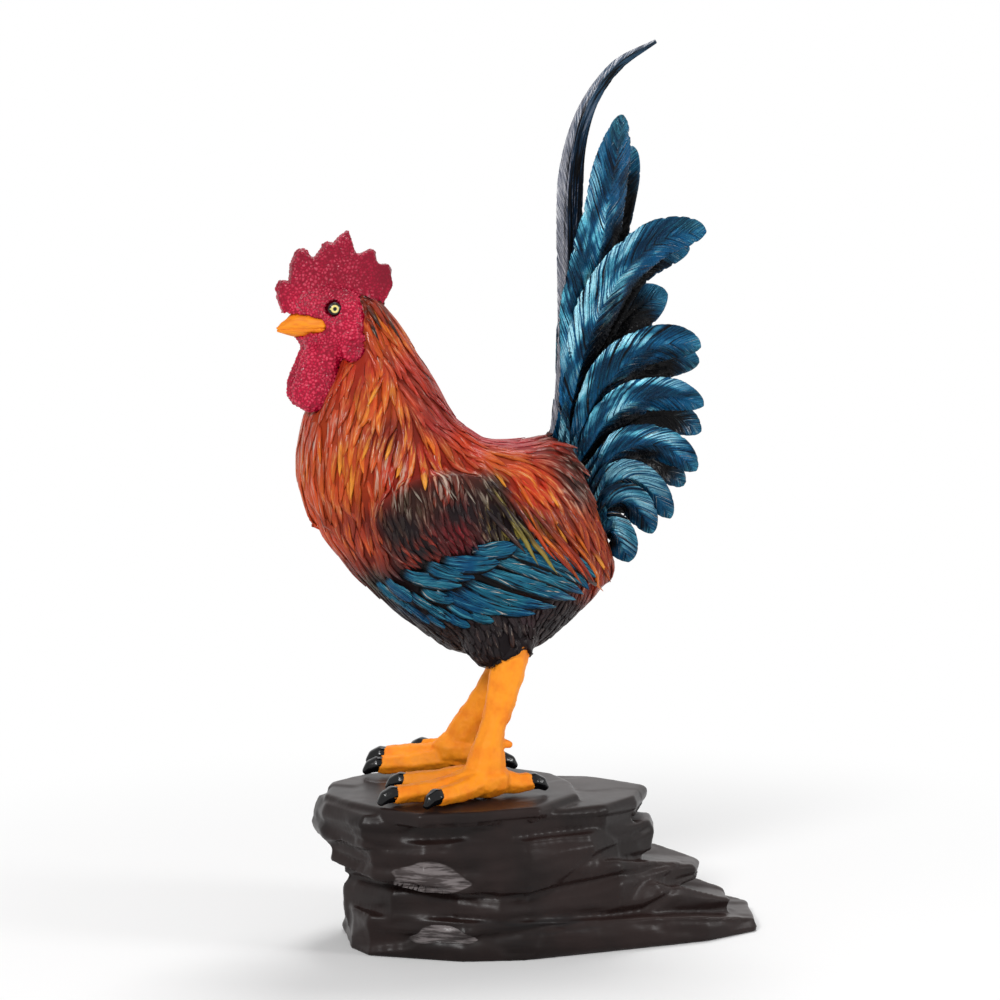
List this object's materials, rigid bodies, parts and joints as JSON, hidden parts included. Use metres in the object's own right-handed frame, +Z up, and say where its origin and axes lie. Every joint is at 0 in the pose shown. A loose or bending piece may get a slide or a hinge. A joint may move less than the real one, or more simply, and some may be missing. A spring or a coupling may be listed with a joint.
{
  "type": "rooster figurine",
  "caption": "Painted rooster figurine with a fanned blue tail, standing on a dark layered slate base; shelf or table ornament.",
  "frame": {"origin": "on the ground, under the middle of the figurine's bounding box", "axes": "+Z up; the bird looks along -X, and its left side faces -Y"},
  "size_m": [0.1652, 0.0756, 0.3001],
  "materials": {
    "slate_paint": "satin dark brown-black paint on resin",
    "leg_paint": "matte orange paint on resin",
    "claw_paint": "gloss black paint on resin",
    "body_paint": "dry-brushed red-brown paint under clear gloss",
    "hackle_paint": "orange and gold dry-brushed paint under clear gloss",
    "wing_paint": "blue dry-brushed paint under clear gloss",
    "comb_paint": "crimson paint under clear gloss",
    "eye_paint": "gloss yellow-green and black paint",
    "plume_paint": "metallic blue paint under clear gloss",
    "sickle_paint": "dark navy and grey paint under clear gloss",
    "steel": "bare drawn wire, hidden inside the legs"
  },
  "bodies": {
    "root": {"rock_base": "slate_paint", "leg_rod_left": "steel", "leg_rod_right": "steel", "leg_left": "leg_paint", "leg_right": "leg_paint", "claw_left_outer": "claw_paint", "claw_left_middle": "claw_paint", "claw_left_inner": "claw_paint", "claw_left_hind": "claw_paint", "claw_right_outer": "claw_paint", "claw_right_middle": "claw_paint", "claw_right_inner": "claw_paint", "claw_right_hind": "claw_paint", "torso": "body_paint", "neck": "hackle_paint", "wing_left": "wing_paint", "wing_right": "wing_paint", "head": "comb_paint", "comb": "comb_paint", "wattle_left": "comb_paint", "wattle_right": "comb_paint", "earlobe_left": "comb_paint", "earlobe_right": "comb_paint", "beak_upper": "leg_paint", "beak_lower": "leg_paint", "eye_left": "eye_paint", "eye_right": "eye_paint", "tail_root": "plume_paint", "sickle_feather": "sickle_paint", "tail_plume_left_1": "plume_paint", "tail_plume_left_2": "plume_paint", "tail_plume_left_3": "plume_paint", "tail_plume_left_4": "plume_paint", "tail_plume_left_5": "plume_paint", "tail_plume_left_6": "plume_paint", "tail_plume_left_7": "plume_paint", "tail_plume_left_8": "plume_paint", "tail_plume_right_1": "plume_paint", "tail_plume_right_2": "plume_paint", "tail_plume_right_3": "plume_paint", "tail_plume_right_4": "plume_paint", "tail_plume_right_5": "plume_paint", "tail_plume_right_6": "plume_paint", "tail_plume_right_7": "plume_paint", "tail_plume_right_8": "plume_paint"}
  },
  "joints": []
}
